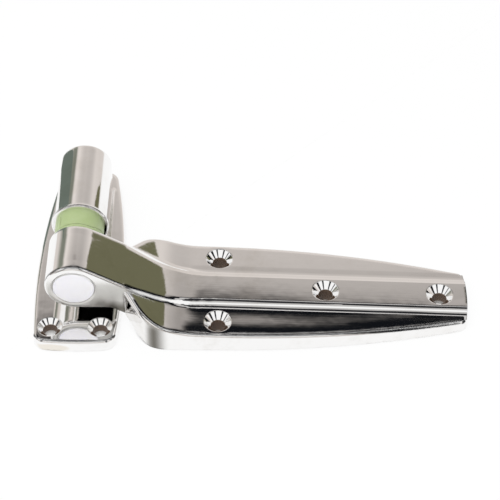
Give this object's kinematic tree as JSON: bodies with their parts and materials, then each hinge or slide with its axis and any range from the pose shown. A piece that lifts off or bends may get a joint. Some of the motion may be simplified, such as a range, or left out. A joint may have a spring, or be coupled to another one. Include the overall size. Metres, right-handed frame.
{
  "type": "flush hinge",
  "caption": "Chrome-plated flush hinge: a bowed fixed flange with a barrel, a tapered screw-on strap with a raised spine, and nylon cams that lift the strap as it swings.",
  "frame": {"origin": "foot of the pin axis on the mounting plane, at the middle of the strap's knuckle", "axes": "+X along the strap from the pin axis to the tip, +Y along the pin axis towards the installed lower end, +Z out from the mounting plane"},
  "size_m": [0.212, 0.1185, 0.0401],
  "materials": {
    "plated_casting": "polished",
    "pin_steel": "satin",
    "green_nylon": "satin",
    "white_nylon": "satin"
  },
  "bodies": {
    "fixed_side": {"flange": "plated_casting", "lower_cam": "green_nylon"},
    "pin": {"hinge_pin": "pin_steel"},
    "door_side": {"strap": "plated_casting", "upper_cam": "green_nylon", "knuckle_bushing": "white_nylon", "end_cap": "white_nylon"}
  },
  "joints": [
    {"name": "strap_swing", "type": "hinge", "parent": "fixed_side", "child": "pin", "pos_m": [0, 0, 0.026], "axis": [0, -1, 0], "range_deg": [0, 95]},
    {"name": "cam_rise", "type": "slide", "parent": "pin", "child": "door_side", "axis": [0, -1, 0], "range_m": [0, 0.0077]}
  ],
  "couplings": [
    {"joint": "cam_rise", "follows": "strap_swing", "m_per_rad": 0.0045837}
  ]
}
